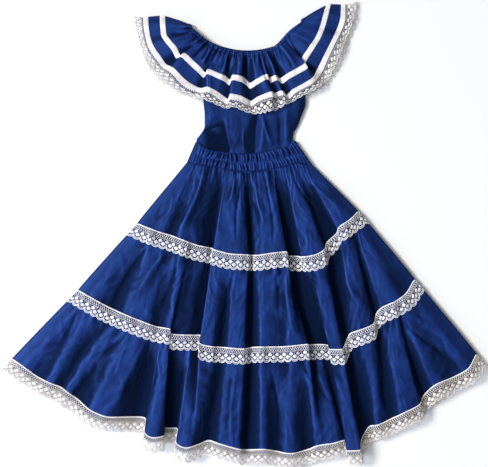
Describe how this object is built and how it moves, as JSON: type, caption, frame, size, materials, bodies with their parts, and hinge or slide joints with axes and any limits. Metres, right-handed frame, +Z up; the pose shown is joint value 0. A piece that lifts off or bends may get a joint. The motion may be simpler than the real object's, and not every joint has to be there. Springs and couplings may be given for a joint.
{
  "type": "honduran folk dress",
  "caption": "Girl's off-shoulder folk dress with a ruffled neckline, elastic waist and tiered skirt trimmed in lace, laid flat with its front up.",
  "frame": {"origin": "on the surface that the dress lies on, under the middle of its outline", "axes": "+Z up, out of the dress's front; +X across the dress, the viewer's right; +Y towards the neckline"},
  "size_m": [0.9713, 0.9342, 0.026],
  "materials": {
    "taffeta": "royal blue taffeta with a soft sheen",
    "satin_ribbon": "off-white single-face satin ribbon",
    "cotton_lace": "matt off-white cotton bobbin-style lace"
  },
  "bodies": {
    "root": {"bodice_front": "taffeta", "bodice_back": "taffeta", "neckline_casing": "taffeta", "ruffle": "taffeta", "ribbon_upper": "satin_ribbon", "ribbon_lower": "satin_ribbon", "ruffle_lace": "cotton_lace", "waistband": "taffeta", "skirt_tier_1": "taffeta", "skirt_tier_2": "taffeta", "skirt_tier_3": "taffeta", "lace_tier_1": "cotton_lace", "lace_tier_2": "cotton_lace", "hem_lace": "cotton_lace"}
  },
  "joints": []
}
